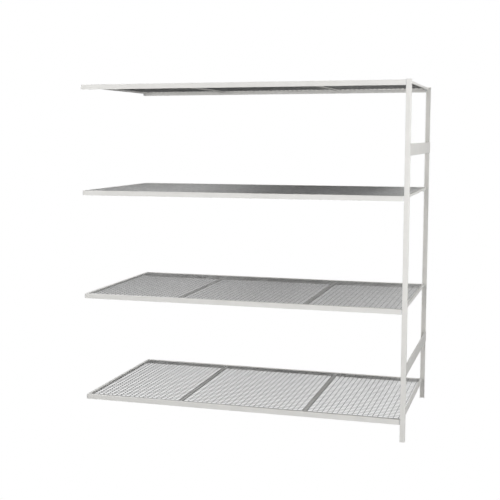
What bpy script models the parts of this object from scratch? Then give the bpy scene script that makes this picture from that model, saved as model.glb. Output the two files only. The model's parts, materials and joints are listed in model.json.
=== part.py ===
"""Boltless steel shelving: the add-on bay of a run of shelving, four levels, 8 ft wide and 4 ft deep.

Two slotted channel posts stand at the right-hand end, tied together by two plates.  Each of the four
levels is a frame of two beams, two side rails and two centre supports under a welded wire deck.  The
frame hangs on four connectors, whose shouldered studs drop into the posts' teardrop slots.  At the
left-hand end the studs hook into the posts of the bay next door, which is not part of this object.

Metres, +Z up, X along the shelves, Y from front to rear, origin on the floor under the middle.
"""

import math

import bmesh
import bpy
from mathutils import Matrix, Vector

# Whole bay
BAY_WIDTH = 2.4384  # from the left-hand connectors to the outer side of the posts, 96 in
BAY_DEPTH = 1.2192  # front face of the front beams to rear face of the rear beams, 48 in
POST_HEIGHT = 2.5146  # 99 in
FIRST_LEVEL = 0.1242  # underside of the lowest beams
LEVEL_PITCH = 0.7830
LEVELS = 4

# Clearances
GAP = 0.0003  # between faces that touch
HANG_GAP = 0.0010  # between a connector and the post that it hangs on

# Posts: channels that open towards the middle of the bay
POST_WIDTH = 0.0356
POST_DEPTH = 0.0260
POST_SHEET = 0.0018
POST_BEND = 0.0028

# Teardrop slots, and the shouldered studs that drop into them
SLOT_PITCH = LEVEL_PITCH / 20
SLOTS_BELOW_FIRST_STUD = 2
SLOTS_ABOVE_FIRST_STUD = 60
SLOT_FROM_POST_FACE = 0.0130
SLOT_NARROW = 0.0036  # half width of the slot where the stud's neck rests
SLOT_WIDE = 0.0060  # half width of the slot where the stud's head goes in
SLOT_RISE = 0.0110  # from the resting neck's middle to the wide part's middle
STUD_SEGMENTS = 12
SHOULDER_RADIUS = 0.0060
NECK_RADIUS = 0.0032
HEAD_RADIUS = 0.0052
HEAD_LENGTH = 0.0025
HEAD_CHAMFER = 0.0007
STUD_ROOT = 0.0010  # length of stud that is welded into its plate

# Beams.  The front one has a face, a top flange, and a step down to a ledge.  The rear one is a wall
# whose top edge is hemmed, with its ledge at the foot of the hem.
BEAM_HEIGHT = 0.0360
BEAM_SHEET = 0.0016
BEAM_BEND = 0.0022
HEM_BEND = 0.0014
FRONT_FLANGE = 0.0220
REAR_HEM = 2 * BEAM_SHEET
LEDGE_DEPTH = 0.0080
LEDGE_TOP = 0.0249
CORNER_REACH = 0.0300  # how far the connectors and the ends of the side rails keep from the outer faces

# Side rails: inverted channels, flush with the top of the beams
RAIL_WIDTH = 0.0200
RAIL_HEIGHT = 0.0180
RAIL_SHEET = 0.0015
RAIL_BEND = 0.0018

# Centre supports: shallow inverted channels under the deck
SUPPORT_WIDTH = 0.0320
SUPPORT_SHEET = 0.0012
SUPPORT_BEND = 0.0016
SUPPORT_FROM_MIDDLE = 0.4826  # 19 in each side of the bay's middle
SUPPORT_TOP = 0.0264

# Connectors
CONNECTOR_SHEET = 0.0020
CONNECTOR_INSET = 0.0004  # from the beam's outline, all round
CONNECTOR_TAB_END = 0.0700  # how far the tab reaches into the side rail, from the front face

# Wire deck
WIRE_DIAMETER = 0.0045
DECK_END_GAP = 0.0010
DECK_SIDE_GAP = 0.0008
LONG_WIRE_PITCH = 0.03667  # of the wires that run front to back
CROSS_WIRE_PITCH = 0.0381  # of the wires that run along the shelf
DECK_BOTTOM = 0.0267

# Tie plates
TIE_HEIGHT = 0.0825
TIE_SHEET = 0.0016
TIE_FOLD = 0.0080
TIE_BEND = 0.0020
TIE_END_INSET = 0.0015
LOWER_TIE_SLOT = 9  # slots above the first stud
UPPER_TIE_SLOT = 48

# Each assembly's pieces are measured from the left-hand connectors' outer face, from the front face and
# from the underside of their beams, or from the floor
STUD_REACH = HANG_GAP + POST_SHEET + GAP + HEAD_LENGTH
LEFTMOST = -STUD_REACH
RIGHTMOST = BAY_WIDTH + HANG_GAP + TIE_SHEET
CORNER = Vector((-(LEFTMOST + RIGHTMOST) / 2, -BAY_DEPTH / 2, 0.0))  # where that left front corner is

POST_INNER = BAY_WIDTH - POST_WIDTH
RIGHT_PLATE = POST_INNER - HANG_GAP  # outer face of the right-hand connectors
BEAM_START = CONNECTOR_SHEET + GAP
BEAM_END = RIGHT_PLATE - CONNECTOR_SHEET - GAP
STUD_HEIGHT = BEAM_HEIGHT / 2  # above the underside of its beam
FIRST_STUD = FIRST_LEVEL + STUD_HEIGHT  # above the floor

# Axes that an outline and its thickness can lie on: outline's first, outline's second, thickness
ALONG_X = ((0, 1, 0), (0, 0, 1), (1, 0, 0))
ALONG_Y = ((1, 0, 0), (0, 0, 1), (0, 1, 0))
ALONG_Z = ((1, 0, 0), (0, 1, 0), (0, 0, 1))


def clear_scene():
    for item in list(bpy.data.objects):
        bpy.data.objects.remove(item, do_unlink=True)


def make_collection(name):
    group = bpy.data.collections.new(name)
    bpy.context.scene.collection.children.link(group)
    return group


def make_material(name, colour, metallic, roughness):
    material = bpy.data.materials.new(name)
    material.use_nodes = True
    shader = material.node_tree.nodes["Principled BSDF"]
    shader.inputs["Base Color"].default_value = (*colour, 1.0)
    shader.inputs["Metallic"].default_value = metallic
    shader.inputs["Roughness"].default_value = roughness
    material.diffuse_color = (*colour, 1.0)
    return material


def prism(name, outlines, start, end, axes):
    """A solid with these outlines, from start to end along its third axis, as a mesh object."""
    curve = bpy.data.curves.new(name, "CURVE")
    curve.dimensions = "2D"
    curve.fill_mode = "BOTH"
    curve.extrude = (end - start) / 2
    for outline in outlines:
        spline = curve.splines.new("POLY")
        spline.points.add(len(outline) - 1)
        for point, (across, up) in zip(spline.points, outline):
            point.co = (across, up, 0.0, 1.0)
        spline.use_cyclic_u = True
    filled = bpy.data.objects.new(name, curve)
    bpy.context.scene.collection.objects.link(filled)
    seen = filled.evaluated_get(bpy.context.evaluated_depsgraph_get())
    mesh = bpy.data.meshes.new_from_object(seen)
    bpy.data.objects.remove(filled, do_unlink=True)
    bpy.data.curves.remove(curve)

    first, second, third = (Vector(axis) for axis in axes)
    place = Matrix((first, second, third)).transposed().to_4x4()
    place.translation = third * (start + end) / 2
    shape = bmesh.new()
    shape.from_mesh(mesh)
    bmesh.ops.remove_doubles(shape, verts=shape.verts, dist=1e-6)
    bmesh.ops.transform(shape, matrix=place, verts=shape.verts)
    bmesh.ops.recalc_face_normals(shape, faces=shape.faces)
    shape.to_mesh(mesh)
    shape.free()
    mesh.materials.clear()
    return bpy.data.objects.new(name, mesh)


def block(name, low, high):
    """A box from its lowest to its highest corner."""
    return prism(name, [rectangle(low[0], high[0], low[1], high[1])], low[2], high[2], ALONG_Z)


def rectangle(left, right, bottom, top):
    return [(left, bottom), (right, bottom), (right, top), (left, top)]


def bend(corner, before, after, radius, steps=3):
    """Points of the round bend at a corner, between the neighbouring corners before and after it."""
    corner = Vector(corner)
    back = (Vector(before) - corner).normalized()
    on = (Vector(after) - corner).normalized()
    centre = corner + (back + on) * radius
    points = []
    for step in range(steps + 1):
        turn = math.radians(90.0) * step / steps
        points.append(tuple(centre - on * radius * math.cos(turn) - back * radius * math.sin(turn)))
    return points


def folded_channel(left, right, bottom, top, sheet, radius):
    """Outline of an inverted channel with round bends at its two upper corners."""
    outer_left = bend((left, top), (left, bottom), (right, top), radius)
    outer_right = bend((right, top), (left, top), (right, bottom), radius)
    inside = [(right - sheet, bottom), (right - sheet, top - sheet)]
    inside += [(left + sheet, top - sheet), (left + sheet, bottom)]
    return [(left, bottom), *outer_left, *outer_right, (right, bottom), *inside]


def mirrored_in_depth(outline):
    """The same outline at the rear of the bay, for outlines whose first axis is Y."""
    return [(BAY_DEPTH - across, up) for across, up in reversed(outline)]


def teardrop(across, up):
    """Outline of one slot, whose stud rests with its middle at this point."""
    right_side = [
        (SLOT_NARROW, -SLOT_NARROW),
        (SLOT_NARROW, SLOT_RISE - SLOT_WIDE),
        (SLOT_WIDE, SLOT_RISE - SLOT_WIDE / 3),
        (SLOT_WIDE, SLOT_RISE + SLOT_WIDE / 3),
        (SLOT_WIDE / 2, SLOT_RISE + SLOT_WIDE * 0.87),
    ]
    left_side = [(-x, z) for x, z in reversed(right_side)]
    return [(across + x, up + z) for x, z in right_side + left_side]


def stud(name, point, direction):
    """A shouldered stud that starts just inside its plate and points along X, one way or the other."""
    shoulder = HANG_GAP - GAP
    neck = HANG_GAP + POST_SHEET + GAP
    tip = neck + HEAD_LENGTH
    outline = [
        (0.0, tip),
        (HEAD_RADIUS - HEAD_CHAMFER, tip),
        (HEAD_RADIUS, tip - HEAD_CHAMFER),
        (HEAD_RADIUS, neck),
        (NECK_RADIUS, neck),
        (NECK_RADIUS, shoulder),
        (SHOULDER_RADIUS, shoulder),
        (SHOULDER_RADIUS, -STUD_ROOT),
        (0.0, -STUD_ROOT),
    ]
    mesh = bpy.data.meshes.new(name)
    edges = [(i, i + 1) for i in range(len(outline) - 1)]
    mesh.from_pydata([(radius, 0.0, height) for radius, height in outline], edges, [])
    turned = bpy.data.objects.new(name, mesh)
    screw = turned.modifiers.new("turn", "SCREW")
    screw.axis = "Z"
    screw.steps = STUD_SEGMENTS
    screw.render_steps = STUD_SEGMENTS
    screw.use_merge_vertices = True
    screw.merge_threshold = 0.00001
    turned.rotation_euler = (0.0, math.radians(90.0) * direction, 0.0)
    turned.location = point
    return turned


class Workshop:
    """Keeps the two collections, and files every piece or cutter in the right one."""

    def __init__(self):
        self.parts = make_collection("boltless_steel_shelving")
        self.cutters = make_collection("cutters")
        self.cutters.hide_render = True

    def holder(self, name, height, parent=None):
        """An empty on the bay's middle line, which carries the pieces that rise together."""
        empty = bpy.data.objects.new(name, None)
        empty.location = (0.0, 0.0, height)
        empty.parent = parent
        self.parts.objects.link(empty)
        return empty

    def keep(self, piece, material, holder):
        piece.data.materials.append(material)
        piece.parent = holder
        piece.location = CORNER
        self.parts.objects.link(piece)
        return piece

    def combine(self, piece, operand, operation):
        """Cuts an operand away from a piece, or welds it on; the operand rides on the piece."""
        operand.hide_render = True
        operand.display_type = "WIRE"
        operand.parent = piece
        self.cutters.objects.link(operand)
        boolean = piece.modifiers.new(operation.lower(), "BOOLEAN")
        boolean.operation = operation
        boolean.solver = "EXACT"
        boolean.object = operand

    def cut(self, piece, cutter):
        self.combine(piece, cutter, "DIFFERENCE")

    def weld(self, piece, addition):
        self.combine(piece, addition, "UNION")


def make_post(shop, holder, name, steel, at_rear):
    """A channel with its web on the outside; the inner flange has the slots, the outer one the tie slots."""
    outline = folded_channel(POST_INNER, BAY_WIDTH, -POST_DEPTH, 0.0, POST_SHEET, POST_BEND)
    outline = [(across, -up) for across, up in outline]
    slot_across = SLOT_FROM_POST_FACE
    if at_rear:
        outline = [(across, BAY_DEPTH - up) for across, up in outline]
        slot_across = BAY_DEPTH - SLOT_FROM_POST_FACE
    post = prism(name, [outline], 0.0, POST_HEIGHT, ALONG_Z)
    shop.keep(post, steel, holder)

    counts = range(-SLOTS_BELOW_FIRST_STUD, SLOTS_ABOVE_FIRST_STUD + 1)
    slots = [teardrop(slot_across, FIRST_STUD + SLOT_PITCH * count) for count in counts]
    reach = POST_SHEET
    inner = prism(name + "_slots", slots, POST_INNER - reach, POST_INNER + POST_SHEET + reach, ALONG_X)
    shop.cut(post, inner)

    ties = [LOWER_TIE_SLOT, LOWER_TIE_SLOT + 1, UPPER_TIE_SLOT, UPPER_TIE_SLOT + 1]
    slots = [teardrop(slot_across, FIRST_STUD + SLOT_PITCH * count) for count in ties]
    outer = prism(name + "_tie_slots", slots, BAY_WIDTH - POST_SHEET - reach, BAY_WIDTH + reach, ALONG_X)
    shop.cut(post, outer)


def make_tie_plate(shop, holder, name, steel, lower_slot):
    """A plate across the posts' outer sides, its long edges folded in between the posts."""
    studs = [FIRST_STUD + SLOT_PITCH * (lower_slot + above) for above in (0, 1)]
    middle = sum(studs) / 2
    low, high = middle - TIE_HEIGHT / 2, middle + TIE_HEIGHT / 2
    inner_face = BAY_WIDTH + HANG_GAP
    outer_face = inner_face + TIE_SHEET
    fold_edge = outer_face - TIE_FOLD
    top = bend((outer_face, high), (fold_edge, high), (outer_face, low), TIE_BEND)
    foot = bend((outer_face, low), (outer_face, high), (fold_edge, low), TIE_BEND)
    outline = [(fold_edge, high), *top, *foot, (fold_edge, low), (fold_edge, low + TIE_SHEET)]
    outline += [(inner_face, low + TIE_SHEET), (inner_face, high - TIE_SHEET), (fold_edge, high - TIE_SHEET)]
    plate = prism(name, [outline], TIE_END_INSET, BAY_DEPTH - TIE_END_INSET, ALONG_Y)
    shop.keep(plate, steel, holder)

    clear = POST_DEPTH + 2 * GAP
    notches = {"front": (-clear, clear), "rear": (BAY_DEPTH - clear, BAY_DEPTH + clear)}
    for end, (front, rear) in notches.items():
        low_corner = (fold_edge - TIE_FOLD, front, low - TIE_FOLD)
        high_corner = (inner_face, rear, high + TIE_FOLD)
        shop.cut(plate, block(f"{name}_{end}_notch", low_corner, high_corner))
    depths = {"front": SLOT_FROM_POST_FACE, "rear": BAY_DEPTH - SLOT_FROM_POST_FACE}
    for count, height in enumerate(studs):
        for end, depth in depths.items():
            shop.weld(plate, stud(f"{name}_{end}_stud_{count}", (inner_face, depth, height), -1))


def make_front_beam(shop, holder, name, steel):
    """A folded beam: face, top flange, step down, and the ledge along its inner edge."""
    top, ledge = BEAM_HEIGHT, LEDGE_TOP
    flange, sheet = FRONT_FLANGE, BEAM_SHEET
    outer_bend = bend((0.0, top), (0.0, 0.0), (flange, top), BEAM_BEND)
    outline = [(0.0, 0.0), *outer_bend, (flange, top), (flange, ledge), (flange + LEDGE_DEPTH, ledge)]
    outline += [(flange + LEDGE_DEPTH, ledge - sheet), (flange - sheet, ledge - sheet)]
    outline += [(flange - sheet, top - sheet), (sheet, top - sheet), (sheet, 0.0)]
    shop.keep(prism(name, [outline], BEAM_START, BEAM_END, ALONG_X), steel, holder)


def make_rear_beam(shop, holder, name, steel):
    """A wall with its upper edge folded back down on itself, and a ledge where the fold ends."""
    top, ledge = BEAM_HEIGHT, LEDGE_TOP
    hem, sheet = REAR_HEM, BEAM_SHEET
    outline = [(0.0, 0.0), *bend((0.0, top), (0.0, 0.0), (hem, top), HEM_BEND)]
    outline += [*bend((hem, top), (0.0, top), (hem, 0.0), HEM_BEND), (hem, ledge)]
    outline += [(hem + LEDGE_DEPTH, ledge), (hem + LEDGE_DEPTH, ledge - sheet), (sheet, ledge - sheet)]
    outline += [(sheet, 0.0)]
    beam = prism(name, [mirrored_in_depth(outline)], BEAM_START, BEAM_END, ALONG_X)
    shop.keep(beam, steel, holder)


def rail_outline(left):
    bottom, top = BEAM_HEIGHT - RAIL_HEIGHT, BEAM_HEIGHT
    return folded_channel(left, left + RAIL_WIDTH, bottom, top, RAIL_SHEET, RAIL_BEND)


def make_right_rail(shop, holder, name, steel):
    """An inverted channel between the two posts."""
    inset = CORNER_REACH + 2 * GAP
    outline = rail_outline(BEAM_END - RAIL_SHEET)
    shop.keep(prism(name, [outline], inset, BAY_DEPTH - inset, ALONG_Y), steel, holder)


def make_left_rail(shop, holder, name, steel):
    """An inverted channel that runs on to both beams, over their ledges, clear of the bay next door."""
    left = -RAIL_SHEET - GAP
    front, rear = FRONT_FLANGE + GAP, BAY_DEPTH - REAR_HEM - GAP
    rail = prism(name, [rail_outline(left)], front, rear, ALONG_Y)
    shop.keep(rail, steel, holder)

    low, high = 0.0, BEAM_HEIGHT + RAIL_SHEET
    over_ledge = LEDGE_TOP + GAP
    inset = CORNER_REACH + 2 * GAP
    past_rear_ledge = BAY_DEPTH - REAR_HEM - LEDGE_DEPTH - 2 * GAP
    outer, inner = left - RAIL_SHEET, left + RAIL_WIDTH + RAIL_SHEET
    notches = {
        "front_wall": ((outer, 0.0, low), (BEAM_START, inset, high)),
        "rear_wall": ((outer, BAY_DEPTH - inset, low), (BEAM_START, BAY_DEPTH, high)),
        "front_foot": ((outer, 0.0, low), (inner, inset, over_ledge)),
        "rear_foot": ((outer, past_rear_ledge, low), (inner, BAY_DEPTH, over_ledge)),
    }
    for place, (low_corner, high_corner) in notches.items():
        shop.cut(rail, block(f"{name}_{place}_notch", low_corner, high_corner))


def make_support(shop, holder, name, steel, middle):
    """A shallow inverted channel, whose top runs on over the two ledges and hangs it there."""
    left, right = middle - SUPPORT_WIDTH / 2, middle + SUPPORT_WIDTH / 2
    bottom, top = BEAM_HEIGHT - RAIL_HEIGHT, SUPPORT_TOP
    outline = folded_channel(left, right, bottom, top, SUPPORT_SHEET, SUPPORT_BEND)
    front, rear = FRONT_FLANGE + 2 * GAP, BAY_DEPTH - REAR_HEM - 2 * GAP
    support = prism(name, [outline], front, rear, ALONG_Y)
    shop.keep(support, steel, holder)

    over_ledges = {"front": (0.0, front + LEDGE_DEPTH), "rear": (rear - LEDGE_DEPTH, BAY_DEPTH)}
    for end, (near, far) in over_ledges.items():
        low_corner = (left - SUPPORT_SHEET, near, bottom - SUPPORT_SHEET)
        high_corner = (right + SUPPORT_SHEET, far, top - SUPPORT_SHEET)
        shop.cut(support, block(f"{name}_{end}_notch", low_corner, high_corner))


def make_connector(shop, holder, name, zinc, at_left, at_rear):
    """A plate across the beam's end with a tab up the inside of the side rail, and one stud."""
    low, high = CONNECTOR_INSET, BEAM_HEIGHT - CONNECTOR_INSET
    near, far = CONNECTOR_INSET, CORNER_REACH - CONNECTOR_INSET
    tab_low = BEAM_HEIGHT - RAIL_HEIGHT + RAIL_SHEET
    tab_high = BEAM_HEIGHT - RAIL_SHEET - GAP
    outline = [(near, low), (far, low), (far, tab_low), (CONNECTOR_TAB_END, tab_low)]
    outline += [(CONNECTOR_TAB_END, tab_high), (far, tab_high), (far, high), (near, high)]
    depth = SLOT_FROM_POST_FACE
    if at_rear:
        outline = mirrored_in_depth(outline)
        depth = BAY_DEPTH - SLOT_FROM_POST_FACE
    start = 0.0 if at_left else RIGHT_PLATE - CONNECTOR_SHEET
    plate = prism(name, [outline], start, start + CONNECTOR_SHEET, ALONG_X)
    shop.keep(plate, zinc, holder)
    face, direction = (0.0, -1) if at_left else (RIGHT_PLATE, 1)
    shop.weld(plate, stud(name + "_stud", (face, depth, STUD_HEIGHT), direction))


def deck_skin(width, depth):
    """Thickness of the plate that weighs what the deck's wires weigh, with the rim of the tray counted."""
    cross_wires = math.floor(depth / CROSS_WIRE_PITCH) + 1
    long_wires = math.floor(width / LONG_WIRE_PITCH) + 1
    wire_length = cross_wires * width + long_wires * depth
    volume = wire_length * math.pi * (WIRE_DIAMETER / 2) ** 2
    rim = 2 * (width + depth) * 2 * WIRE_DIAMETER
    return volume / (width * depth + rim)


def make_deck(shop, holder, name, wire):
    """A plain tray of the wire deck's outer size and weight, open below."""
    left = RAIL_WIDTH - RAIL_SHEET - GAP + DECK_END_GAP
    right = BEAM_END - RAIL_SHEET - DECK_END_GAP
    front, rear = FRONT_FLANGE + DECK_SIDE_GAP, BAY_DEPTH - REAR_HEM - DECK_SIDE_GAP
    bottom, top = DECK_BOTTOM, DECK_BOTTOM + 2 * WIRE_DIAMETER
    skin = deck_skin(right - left, rear - front)
    tray = block(name, (left, front, bottom), (right, rear, top))
    shop.keep(tray, wire, holder)
    low_corner = (left + skin, front + skin, bottom - WIRE_DIAMETER)
    high_corner = (right - skin, rear - skin, top - skin)
    shop.cut(tray, block(name + "_hollow", low_corner, high_corner))


def make_level(shop, posts, number, finishes):
    """One shelf: its frame, connectors, supports and deck."""
    shelf = f"shelf_{number}"
    frame = shop.holder(f"{shelf}_frame", FIRST_LEVEL + LEVEL_PITCH * (number - 1), posts)
    deck = shop.holder(f"{shelf}_deck", 0.0, frame)
    steel = finishes["powder_coat"]
    make_front_beam(shop, frame, f"{shelf}_front_beam", steel)
    make_rear_beam(shop, frame, f"{shelf}_rear_beam", steel)
    make_left_rail(shop, frame, f"{shelf}_left_rail", steel)
    make_right_rail(shop, frame, f"{shelf}_right_rail", steel)
    middle = BAY_WIDTH / 2
    make_support(shop, frame, f"{shelf}_left_support", steel, middle - SUPPORT_FROM_MIDDLE)
    make_support(shop, frame, f"{shelf}_right_support", steel, middle + SUPPORT_FROM_MIDDLE)
    for depth_name, at_rear in {"front": False, "rear": True}.items():
        for side_name, at_left in {"left": True, "right": False}.items():
            name = f"{shelf}_{depth_name}_{side_name}_connector"
            make_connector(shop, frame, name, finishes["zinc"], at_left, at_rear)
    make_deck(shop, deck, f"{shelf}_wire_deck", finishes["wire"])


def build_shelving():
    clear_scene()
    shop = Workshop()
    finishes = {
        "powder_coat": make_material("powder_coat", (0.80, 0.79, 0.76), 0.0, 0.45),
        "zinc": make_material("zinc", (0.62, 0.63, 0.65), 0.9, 0.35),
        "wire": make_material("wire", (0.30, 0.30, 0.30), 0.6, 0.45),
    }
    steel = finishes["powder_coat"]
    posts = shop.holder("posts", 0.0)
    make_post(shop, posts, "front_post", steel, at_rear=False)
    make_post(shop, posts, "rear_post", steel, at_rear=True)
    make_tie_plate(shop, posts, "upper_tie_plate", steel, UPPER_TIE_SLOT)
    make_tie_plate(shop, posts, "lower_tie_plate", steel, LOWER_TIE_SLOT)
    for number in range(1, LEVELS + 1):
        make_level(shop, posts, number, finishes)


build_shelving()
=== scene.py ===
"""Looks of the boltless steel shelving: powder-coated frame, galvanised wire decks, and a studio."""
import json
import math

import bmesh
import bpy
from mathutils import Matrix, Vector


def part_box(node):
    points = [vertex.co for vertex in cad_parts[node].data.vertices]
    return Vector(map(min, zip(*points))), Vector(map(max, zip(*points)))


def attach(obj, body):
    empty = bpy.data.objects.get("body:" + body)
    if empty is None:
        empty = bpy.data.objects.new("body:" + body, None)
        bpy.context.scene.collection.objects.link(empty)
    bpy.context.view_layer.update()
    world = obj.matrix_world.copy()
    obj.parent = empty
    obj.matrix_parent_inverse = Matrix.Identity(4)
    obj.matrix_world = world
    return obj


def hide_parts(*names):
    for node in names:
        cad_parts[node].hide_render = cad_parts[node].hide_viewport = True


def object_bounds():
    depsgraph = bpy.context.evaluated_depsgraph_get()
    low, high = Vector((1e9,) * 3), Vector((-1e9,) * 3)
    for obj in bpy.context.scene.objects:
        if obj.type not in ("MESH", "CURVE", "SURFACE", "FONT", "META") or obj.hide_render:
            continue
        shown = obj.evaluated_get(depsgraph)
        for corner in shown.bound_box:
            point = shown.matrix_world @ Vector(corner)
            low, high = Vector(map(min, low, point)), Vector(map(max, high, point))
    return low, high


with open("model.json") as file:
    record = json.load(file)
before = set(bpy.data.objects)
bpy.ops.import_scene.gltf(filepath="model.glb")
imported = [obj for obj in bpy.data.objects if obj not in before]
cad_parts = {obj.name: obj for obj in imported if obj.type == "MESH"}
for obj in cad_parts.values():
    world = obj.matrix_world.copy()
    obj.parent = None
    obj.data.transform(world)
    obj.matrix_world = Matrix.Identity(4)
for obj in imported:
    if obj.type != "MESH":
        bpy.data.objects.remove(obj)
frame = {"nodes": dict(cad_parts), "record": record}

CAD_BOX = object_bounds()
SHELVES = (1, 2, 3, 4)

# Wire decks
WIRE_RADIUS = 0.00225
WIRE_SIDES = 10
WELD_SINK = 0.0003  # how far the crossing wires are pressed into each other
END_CHAMFER = 0.0006
LONG_PITCH = 0.03667  # of the wires that run from front to rear
FIRST_LONG = 0.0178  # from the deck's left end to the first of them
CROSS_PITCH = 0.0381  # of the wires that run along the shelf
FIRST_CROSS = 0.0153  # from the deck's front edge to the first of them
CROSS_WIRES = 31

# Camera
SENSOR_MM = 36.0
LENS_MM = 69.61
CAMERA_PLACE = (2.0566, -7.2076, 2.1383)
CAMERA_TURN = (math.radians(90.0) - 0.11828, 0.0, 0.28940)

# Studio
WHITE = (1.0, 1.0, 1.0, 1.0)
BLACK = (0.0, 0.0, 0.0, 1.0)
FLOOR_HALF_SIZE = 60.0
FLOOR_DROP = 0.0002  # how far the floor lies under the posts' feet
FILL_ABOVE = 0.03  # the world's light from the horizon up
FILL_BELOW = 0.10  # the white floor's bounce, straight up
SOFTBOXES = (  # name, place, what it points at, width, height, watts
    ("front", (2.0, -8.0, 1.5), (0.0, 0.0, 1.4), 6.0, 3.0, 308.0),
    ("front_left", (-4.5, -5.5, 4.0), (0.0, 0.0, 1.4), 5.0, 4.0, 183.0),
    ("right", (6.5, -1.5, 4.5), (0.5, 0.0, 1.4), 5.0, 4.0, 412.0),
    ("left", (-6.0, -1.5, 3.0), (0.0, 0.0, 1.4), 5.0, 4.0, 72.0),
    ("rear_left", (-4.5, 5.5, 3.0), (0.0, 0.0, 1.4), 5.0, 4.0, 122.0),
)


def new_material(name):
    material = bpy.data.materials.new(name)
    material.use_nodes = True
    return material, material.node_tree.nodes, material.node_tree.links


def noise(nodes, links, scale, detail, where):
    """Noise, with scale in features a metre."""
    texture = nodes.new("ShaderNodeTexNoise")
    texture.inputs["Scale"].default_value = scale
    texture.inputs["Detail"].default_value = detail
    links.new(where, texture.inputs["Vector"])
    return texture.outputs["Fac"]


def remap(nodes, links, value, low, high, to_low, to_high):
    """value, with low to high stretched to to_low to to_high and held at those ends."""
    ranged = nodes.new("ShaderNodeMapRange")
    ranged.inputs["From Min"].default_value = low
    ranged.inputs["From Max"].default_value = high
    ranged.inputs["To Min"].default_value = to_low
    ranged.inputs["To Max"].default_value = to_high
    links.new(value, ranged.inputs["Value"])
    return ranged.outputs["Result"]


def blend_colours(nodes, links, factor, first, second):
    """first where factor is 0 and second where it is 1. Each is a colour or a socket."""
    mix = nodes.new("ShaderNodeMix")
    mix.data_type = "RGBA"
    links.new(factor, mix.inputs["Factor"])
    sockets = [s for s in mix.inputs if s.type == "RGBA"]
    for socket, colour in zip(sockets, (first, second)):
        if isinstance(colour, tuple):
            socket.default_value = (*colour, 1.0)
        else:
            links.new(colour, socket)
    return [s for s in mix.outputs if s.type == "RGBA"][0]


def bump(nodes, links, height, strength, distance):
    relief = nodes.new("ShaderNodeBump")
    relief.inputs["Strength"].default_value = strength
    relief.inputs["Distance"].default_value = distance
    links.new(height, relief.inputs["Height"])
    return relief.outputs["Normal"]


def powder_coat():
    """Off-white powder coat: fine orange peel, faint mottling and a little dust."""
    material, nodes, links = new_material("powder_coat_off_white")
    shader = nodes["Principled BSDF"]
    place = nodes.new("ShaderNodeTexCoord").outputs["Object"]
    mottle = noise(nodes, links, 9.0, 3.0, place)
    mottle = remap(nodes, links, mottle, 0.35, 0.65, 0.0, 1.0)
    colour = blend_colours(nodes, links, mottle, (0.800, 0.792, 0.765), (0.835, 0.826, 0.798))
    specks = noise(nodes, links, 700.0, 2.0, place)
    specks = remap(nodes, links, specks, 0.70, 0.78, 0.0, 0.35)
    colour = blend_colours(nodes, links, specks, colour, (0.52, 0.51, 0.48))
    links.new(colour, shader.inputs["Base Color"])
    rough = remap(nodes, links, noise(nodes, links, 60.0, 4.0, place), 0.3, 0.7, 0.38, 0.50)
    links.new(rough, shader.inputs["Roughness"])
    peel = bump(nodes, links, noise(nodes, links, 420.0, 2.0, place), 0.18, 0.0004)
    links.new(peel, shader.inputs["Normal"])
    shader.inputs["IOR"].default_value = 1.5
    return material


def zinc_plate():
    """Bright zinc plate with a fine crystalline grain."""
    material, nodes, links = new_material("zinc_plate")
    shader = nodes["Principled BSDF"]
    place = nodes.new("ShaderNodeTexCoord").outputs["Object"]
    grain = nodes.new("ShaderNodeTexVoronoi")
    grain.inputs["Scale"].default_value = 260.0
    links.new(place, grain.inputs["Vector"])
    tone = remap(nodes, links, grain.outputs["Distance"], 0.0, 0.8, 0.0, 1.0)
    colour = blend_colours(nodes, links, tone, (0.58, 0.60, 0.63), (0.70, 0.71, 0.72))
    links.new(colour, shader.inputs["Base Color"])
    shader.inputs["Metallic"].default_value = 0.9
    rough = remap(nodes, links, noise(nodes, links, 120.0, 3.0, place), 0.3, 0.7, 0.28, 0.42)
    links.new(rough, shader.inputs["Roughness"])
    links.new(bump(nodes, links, grain.outputs["Distance"], 0.10, 0.0002), shader.inputs["Normal"])
    return material


def galvanised_wire():
    """Dull galvanised wire: patchy grey with a fine, even grain."""
    material, nodes, links = new_material("galvanised_wire")
    shader = nodes["Principled BSDF"]
    place = nodes.new("ShaderNodeTexCoord").outputs["Object"]
    patches = remap(nodes, links, noise(nodes, links, 35.0, 4.0, place), 0.35, 0.65, 0.0, 1.0)
    colour = blend_colours(nodes, links, patches, (0.42, 0.42, 0.42), (0.52, 0.52, 0.515))
    links.new(colour, shader.inputs["Base Color"])
    shader.inputs["Metallic"].default_value = 1.0
    rough = remap(nodes, links, noise(nodes, links, 180.0, 3.0, place), 0.3, 0.7, 0.40, 0.52)
    links.new(rough, shader.inputs["Roughness"])
    grain = bump(nodes, links, noise(nodes, links, 1500.0, 2.0, place), 0.20, 0.0002)
    links.new(grain, shader.inputs["Normal"])
    return material


def add_wire(mesh, start, end):
    """One cut length of round wire, with its end edges broken, in a mesh under construction."""
    start, end = Vector(start), Vector(end)
    along = (end - start).normalized()
    across = along.cross(Vector((0.0, 0.0, 1.0))).normalized()
    up = across.cross(along)
    stations = [
        (start, WIRE_RADIUS - END_CHAMFER),
        (start + along * END_CHAMFER, WIRE_RADIUS),
        (end - along * END_CHAMFER, WIRE_RADIUS),
        (end, WIRE_RADIUS - END_CHAMFER),
    ]
    rings = []
    for centre, radius in stations:
        ring = []
        for side in range(WIRE_SIDES):
            turn = math.tau * (side + 0.5) / WIRE_SIDES
            offset = across * math.cos(turn) * radius + up * math.sin(turn) * radius
            ring.append(mesh.verts.new(centre + offset))
        rings.append(ring)
    for low, high in zip(rings, rings[1:]):
        for side in range(WIRE_SIDES):
            beyond = (side + 1) % WIRE_SIDES
            face = mesh.faces.new((low[side], low[beyond], high[beyond], high[side]))
            face.smooth = True
    mesh.faces.new(rings[0])
    mesh.faces.new(reversed(rings[-1]))


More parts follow.
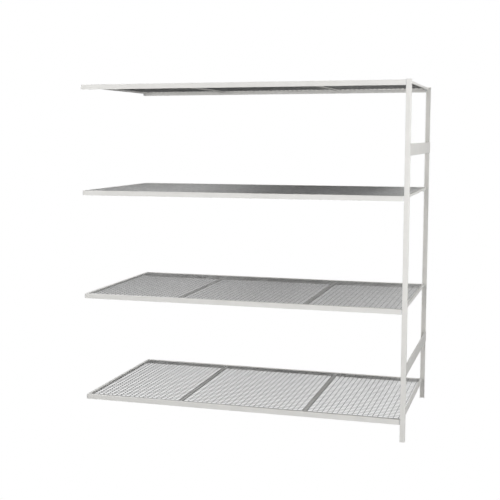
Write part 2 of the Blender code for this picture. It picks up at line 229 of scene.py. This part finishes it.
def make_deck(shelf, material):
    """The welded wire deck of one shelf: front-to-rear wires, and wires along the shelf over them."""
    low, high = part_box(f"shelf_{shelf}_wire_deck")
    lower = low[2] + WIRE_RADIUS + WELD_SINK
    upper = high[2] - WIRE_RADIUS
    mesh = bmesh.new()
    across = low[0] + FIRST_LONG
    while across < high[0] - WIRE_RADIUS:
        add_wire(mesh, (across, low[1], lower), (across, high[1], lower))
        across += LONG_PITCH
    for count in range(CROSS_WIRES):
        depth = low[1] + FIRST_CROSS + count * CROSS_PITCH
        add_wire(mesh, (low[0], depth, upper), (high[0], depth, upper))
    bmesh.ops.recalc_face_normals(mesh, faces=mesh.faces)
    data = bpy.data.meshes.new(f"deck_{shelf}_wires")
    mesh.to_mesh(data)
    mesh.free()
    data.materials.append(material)
    deck = bpy.data.objects.new(f"deck_{shelf}_wires", data)
    bpy.context.scene.collection.objects.link(deck)
    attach(deck, f"shelf_{shelf}_deck")
    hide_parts(f"shelf_{shelf}_wire_deck")


def paint_frame(finishes):
    """Gives every carried-over CAD node its finish, by the record's material slots."""
    slots = {part["node"]: part["material_slot"] for part in frame["record"]["subparts"]}
    for name, node in frame["nodes"].items():
        node.data.materials.clear()
        node.data.materials.append(finishes[slots[name]])


def make_floor():
    """A floor that shows as plain white, and neither lights the object nor is reflected in it."""
    mesh = bmesh.new()
    bmesh.ops.create_grid(mesh, x_segments=1, y_segments=1, size=FLOOR_HALF_SIZE)
    data = bpy.data.meshes.new("floor")
    mesh.to_mesh(data)
    mesh.free()
    floor = bpy.data.objects.new("floor", data)
    floor.location.z = CAD_BOX[0][2] - FLOOR_DROP
    bpy.context.scene.collection.objects.link(floor)
    material, nodes, _ = new_material("studio_floor")
    shader = nodes["Principled BSDF"]
    shader.inputs["Base Color"].default_value = BLACK
    shader.inputs["Specular IOR Level"].default_value = 0.0
    shader.inputs["Roughness"].default_value = 1.0
    shader.inputs["Emission Color"].default_value = WHITE
    shader.inputs["Emission Strength"].default_value = 1.0
    data.materials.append(material)
    floor.visible_diffuse = False
    floor.visible_glossy = False


def make_world():
    """White to the camera; for light, a faint fill that is stronger from below."""
    world = bpy.data.worlds.new("studio")
    bpy.context.scene.world = world
    world.use_nodes = True
    nodes, links = world.node_tree.nodes, world.node_tree.links
    nodes.clear()
    direction = nodes.new("ShaderNodeTexCoord").outputs["Generated"]
    parts = nodes.new("ShaderNodeSeparateXYZ")
    links.new(direction, parts.inputs["Vector"])
    strength = remap(nodes, links, parts.outputs["Z"], 0.0, -1.0, FILL_ABOVE, FILL_BELOW)
    fill = nodes.new("ShaderNodeBackground")
    fill.inputs["Color"].default_value = WHITE
    links.new(strength, fill.inputs["Strength"])
    white = nodes.new("ShaderNodeBackground")
    white.inputs["Color"].default_value = WHITE
    white.inputs["Strength"].default_value = 1.0
    seen = nodes.new("ShaderNodeLightPath").outputs["Is Camera Ray"]
    mix = nodes.new("ShaderNodeMixShader")
    links.new(seen, mix.inputs["Fac"])
    links.new(fill.outputs["Background"], mix.inputs[1])
    links.new(white.outputs["Background"], mix.inputs[2])
    output = nodes.new("ShaderNodeOutputWorld")
    links.new(mix.outputs["Shader"], output.inputs["Surface"])


def softbox(name, place, target, width, height, watts):
    data = bpy.data.lights.new(name, "AREA")
    data.shape = "RECTANGLE"
    data.size = width
    data.size_y = height
    data.energy = watts
    light = bpy.data.objects.new(name, data)
    light.location = place
    light.rotation_euler = (Vector(target) - Vector(place)).to_track_quat("-Z", "Y").to_euler()
    bpy.context.scene.collection.objects.link(light)


def make_camera():
    data = bpy.data.cameras.new("camera")
    data.lens = LENS_MM
    data.sensor_width = SENSOR_MM
    camera = bpy.data.objects.new("camera", data)
    camera.location = CAMERA_PLACE
    camera.rotation_euler = CAMERA_TURN
    bpy.context.scene.collection.objects.link(camera)
    bpy.context.scene.camera = camera


make_camera()
finishes = {"powder_coat": powder_coat(), "zinc": zinc_plate(), "wire": galvanised_wire()}
paint_frame(finishes)
for shelf in SHELVES:
    make_deck(shelf, finishes["wire"])
make_floor()
make_world()
for light in SOFTBOXES:
    softbox(*light)
bpy.context.scene.view_settings.view_transform = "Standard"
